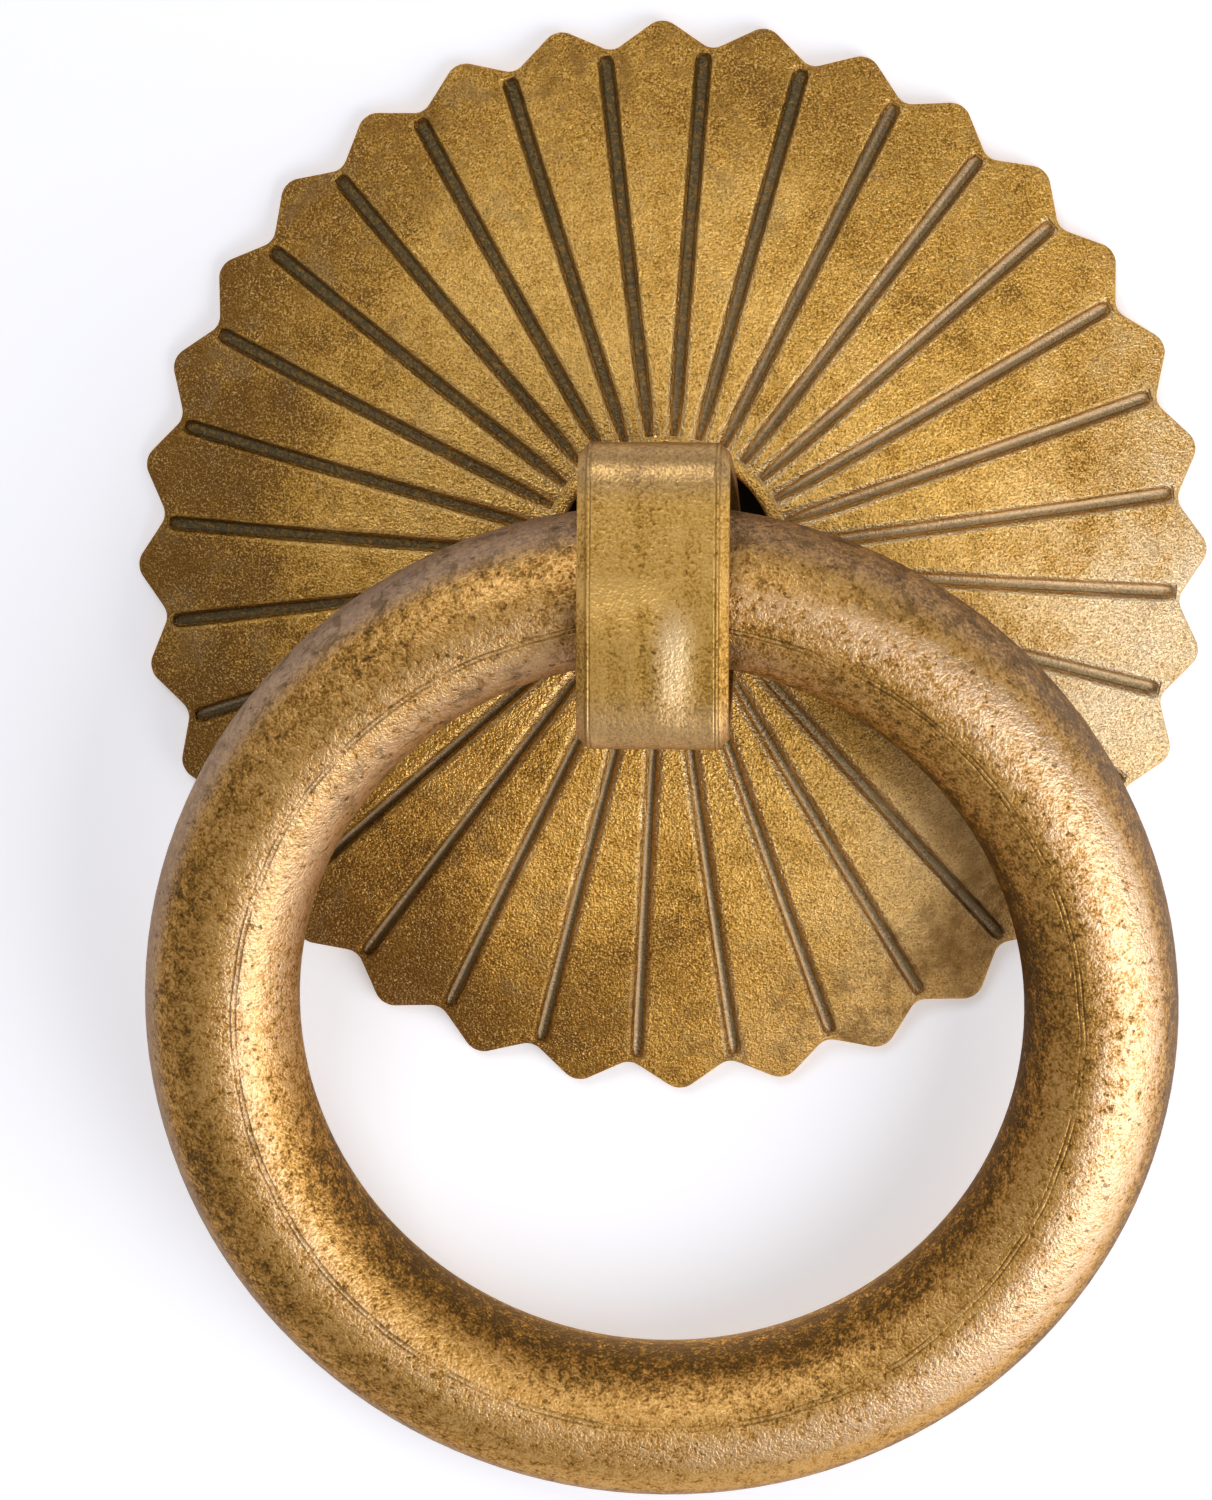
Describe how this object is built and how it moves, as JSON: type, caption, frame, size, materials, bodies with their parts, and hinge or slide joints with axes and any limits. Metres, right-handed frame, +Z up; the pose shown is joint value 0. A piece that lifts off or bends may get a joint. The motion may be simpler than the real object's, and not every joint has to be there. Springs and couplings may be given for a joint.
{
  "type": "ring pull handle",
  "caption": "Antique brass ring pull with a domed, toothed and grooved rosette, a round ring, and a strap that holds the ring and fixes the pull with its two legs.",
  "frame": {"origin": "middle of the rosette, on the mounting surface that its back land meets", "axes": "-Y points out of the drawer front towards the user, +Z is up and +X is right; the strap's legs run back along +Y and the ring hangs towards -Z"},
  "size_m": [0.0634, 0.0498, 0.0865],
  "materials": {
    "rosette_brass": "matte blasted antique brass with dark patina in the grooves",
    "ring_brass": "satin antique brass with mottled brown patina",
    "strap_brass": "satin antique brass, brighter along its bevels"
  },
  "bodies": {
    "plate_and_strap": {"rosette": "rosette_brass", "strap": "strap_brass"},
    "ring": {"ring": "ring_brass"}
  },
  "joints": [
    {"name": "ring_swing", "type": "hinge", "parent": "plate_and_strap", "child": "ring", "pos_m": [0, -0.01335, -0.0008], "axis": [-1, 0, 0], "range_deg": [0, 200]}
  ]
}
